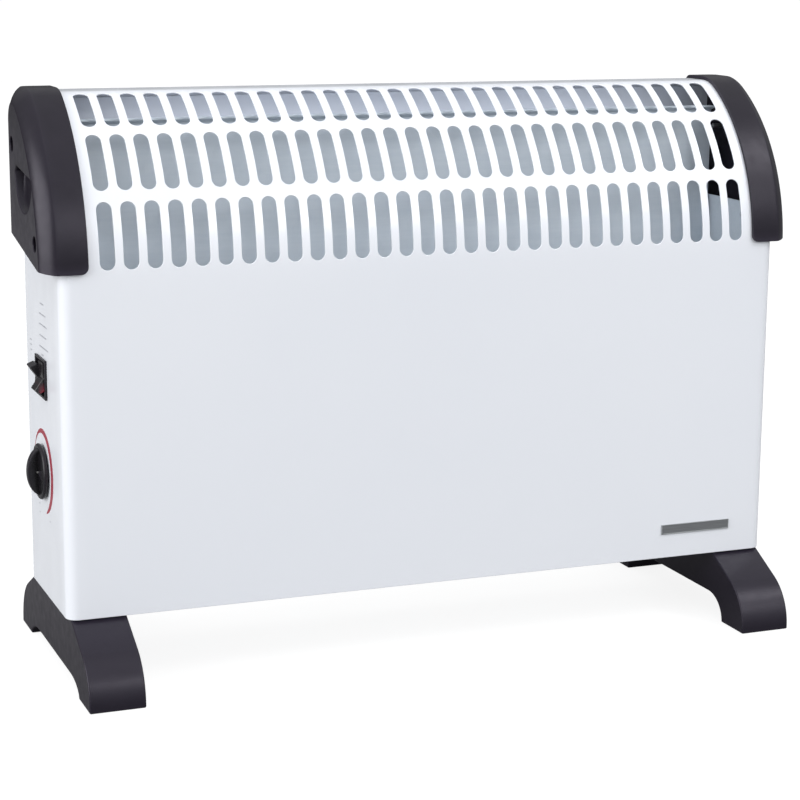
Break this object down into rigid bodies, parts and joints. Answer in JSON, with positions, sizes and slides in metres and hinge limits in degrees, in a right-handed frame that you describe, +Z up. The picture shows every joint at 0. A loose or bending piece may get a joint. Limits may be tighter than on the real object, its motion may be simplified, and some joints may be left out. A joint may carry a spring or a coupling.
{
  "type": "fan convector heater",
  "caption": "Free-standing convector heater: white slotted sheet-metal casing between dark end caps, on arched feet, with rocker switches and a thermostat knob at one end.",
  "frame": {"origin": "on the floor, under the middle of the heater's length and depth", "axes": "+X along the length towards the end without controls, +Y towards the back, +Z up; the slotted front faces -Y"},
  "size_m": [0.538, 0.2064, 0.3863],
  "materials": {
    "white_enamel": "glossy bluish-white baked enamel on sheet steel",
    "charcoal_plastic": "satin charcoal moulding with a fine grain",
    "black_plastic": "black moulding, softly polished",
    "red_lens": "dark red translucent lens of an indicator rocker",
    "galvanised_steel": "galvanised sheet steel with faint spangle",
    "zinc_screw": "bright zinc plate",
    "turned_steel": "turned steel",
    "element_aluminium": "extruded aluminium, dull",
    "insulator_ceramic": null,
    "coil_copper": null,
    "motor_core": "stacked steel laminations",
    "wire_sleeve": "pale silicone sleeve",
    "badge_grey": "plain grey plate with a lighter border"
  },
  "bodies": {
    "heater": {"front_casing": "white_enamel", "rear_panel": "white_enamel", "left_end_cap": "charcoal_plastic", "right_end_cap": "charcoal_plastic", "left_foot": "charcoal_plastic", "right_foot": "charcoal_plastic", "switch_housing": "black_plastic", "thermostat_body": "black_plastic", "terminal_block": "black_plastic", "cord_gland": "black_plastic", "thermal_cutout": "black_plastic", "base_panel": "galvanised_steel", "heat_shield": "galvanised_steel", "left_side_frame": "galvanised_steel", "right_side_frame": "galvanised_steel", "left_element_plate": "galvanised_steel", "right_element_plate": "galvanised_steel", "fan_bracket": "galvanised_steel", "fan_rear_bridge": "galvanised_steel", "left_cap_upper_screw": "zinc_screw", "left_cap_lower_screw": "zinc_screw", "right_cap_upper_screw": "zinc_screw", "right_cap_lower_screw": "zinc_screw", "left_foot_front_screw": "zinc_screw", "left_foot_rear_screw": "zinc_screw", "right_foot_front_screw": "zinc_screw", "right_foot_rear_screw": "zinc_screw", "rear_screw_lower_left": "zinc_screw", "rear_screw_lower_right": "zinc_screw", "rear_screw_upper_left": "zinc_screw", "rear_screw_upper_right": "zinc_screw", "upper_heating_element": "element_aluminium", "lower_heating_element": "element_aluminium", "upper_left_insulator": "insulator_ceramic", "upper_right_insulator": "insulator_ceramic", "lower_left_insulator": "insulator_ceramic", "lower_right_insulator": "insulator_ceramic", "fan_coil": "coil_copper", "fan_stator": "motor_core", "supply_wire": "wire_sleeve", "thermostat_wire": "wire_sleeve", "upper_element_wire": "wire_sleeve", "lower_element_wire": "wire_sleeve", "fan_wire": "wire_sleeve", "front_badge": "badge_grey"},
    "knob": {"thermostat_knob": "black_plastic", "thermostat_spindle": "turned_steel"},
    "front_rocker": {"front_rocker": "red_lens"},
    "rear_rocker": {"rear_rocker": "black_plastic"},
    "fan": {"fan_impeller": "charcoal_plastic", "fan_rotor": "turned_steel"}
  },
  "joints": [
    {"name": "knob_turn", "type": "hinge", "parent": "heater", "child": "knob", "pos_m": [-0.2575, 0.0044, 0.1343], "axis": [-1, 0, 0], "range_deg": [0, 270]},
    {"name": "front_rocker_tilt", "type": "hinge", "parent": "heater", "child": "front_rocker", "pos_m": [-0.2551, -0.0049, 0.1989], "axis": [0, 1, 0], "range_deg": [-32, 0]},
    {"name": "rear_rocker_tilt", "type": "hinge", "parent": "heater", "child": "rear_rocker", "pos_m": [-0.2551, 0.0079, 0.1989], "axis": [0, 1, 0], "range_deg": [0, 32]},
    {"name": "fan_spin", "type": "hinge", "parent": "heater", "child": "fan", "pos_m": [0, -0.002, 0.105], "axis": [0, -1, 0], "continuous": true}
  ]
}
